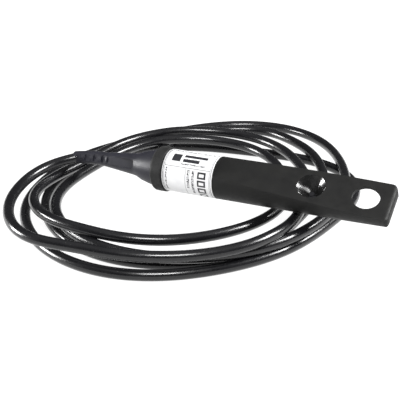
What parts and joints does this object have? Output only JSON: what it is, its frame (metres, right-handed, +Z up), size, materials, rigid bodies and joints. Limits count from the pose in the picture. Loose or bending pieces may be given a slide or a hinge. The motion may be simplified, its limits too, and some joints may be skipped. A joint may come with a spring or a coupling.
{
  "type": "light sensor probe",
  "caption": "Potted light sensor probe with a flat paddle, conical light well and hanging eye, lying on its loosely coiled cable",
  "frame": {"origin": "middle of the probe's box, measured without its cable", "axes": "+X along the probe from the cable boot to the tip, tilted up 1.6 degrees; +Z up from the surface it lies on; the paddle's flat is rolled 29.5 degrees towards -Y"},
  "size_m": [0.1825, 0.208, 0.0312],
  "materials": {
    "shell_plastic": "fine moulded texture, near-black",
    "collar_plastic": "coarse spark-eroded texture",
    "boot_rubber": "semi-gloss, dark bluish grey",
    "cable_skin": "glossy PVC",
    "label_paper": "white printed label under clear film",
    "dark_window": "tinted filter glass",
    "board_laminate": "green solder mask",
    "chip_black": "moulded package",
    "ceramic_part": "fired ceramic",
    "tantalum_yellow": "moulded package",
    "potting_resin": "cured resin",
    "seal_rubber": "nitrile",
    "tinned_metal": "tinned",
    "core_brown": "PVC insulation",
    "core_blue": "PVC insulation",
    "core_black": "PVC insulation"
  },
  "bodies": {
    "root": {"probe_shell": "shell_plastic", "label_sleeve": "label_paper", "rear_collar": "collar_plastic", "collar_seal": "seal_rubber", "strain_relief_boot": "boot_rubber", "cable_clamp": "tinned_metal", "inner_jacket": "cable_skin", "potting_plug": "potting_resin", "circuit_board": "board_laminate", "terminal_block": "chip_black", "voltage_regulator": "chip_black", "polarity_diode": "chip_black", "filter_capacitor": "tantalum_yellow", "amplifier_chip": "chip_black", "light_window": "dark_window", "photodiode": "chip_black", "inner_core_brown": "core_brown", "inner_core_blue": "core_blue", "inner_core_black": "core_black", "chip_resistor_1": "chip_black", "chip_resistor_2": "chip_black", "chip_resistor_3": "chip_black", "chip_resistor_4": "chip_black", "ceramic_capacitor_1": "ceramic_part", "ceramic_capacitor_2": "ceramic_part", "cable_lead": "cable_skin", "cable_coil": "cable_skin", "cable_tail": "cable_skin", "end_core_brown": "core_brown", "end_core_blue": "core_blue", "end_core_black": "core_black", "end_ferrule_brown": "tinned_metal", "end_ferrule_blue": "tinned_metal", "end_ferrule_black": "tinned_metal"}
  },
  "joints": []
}
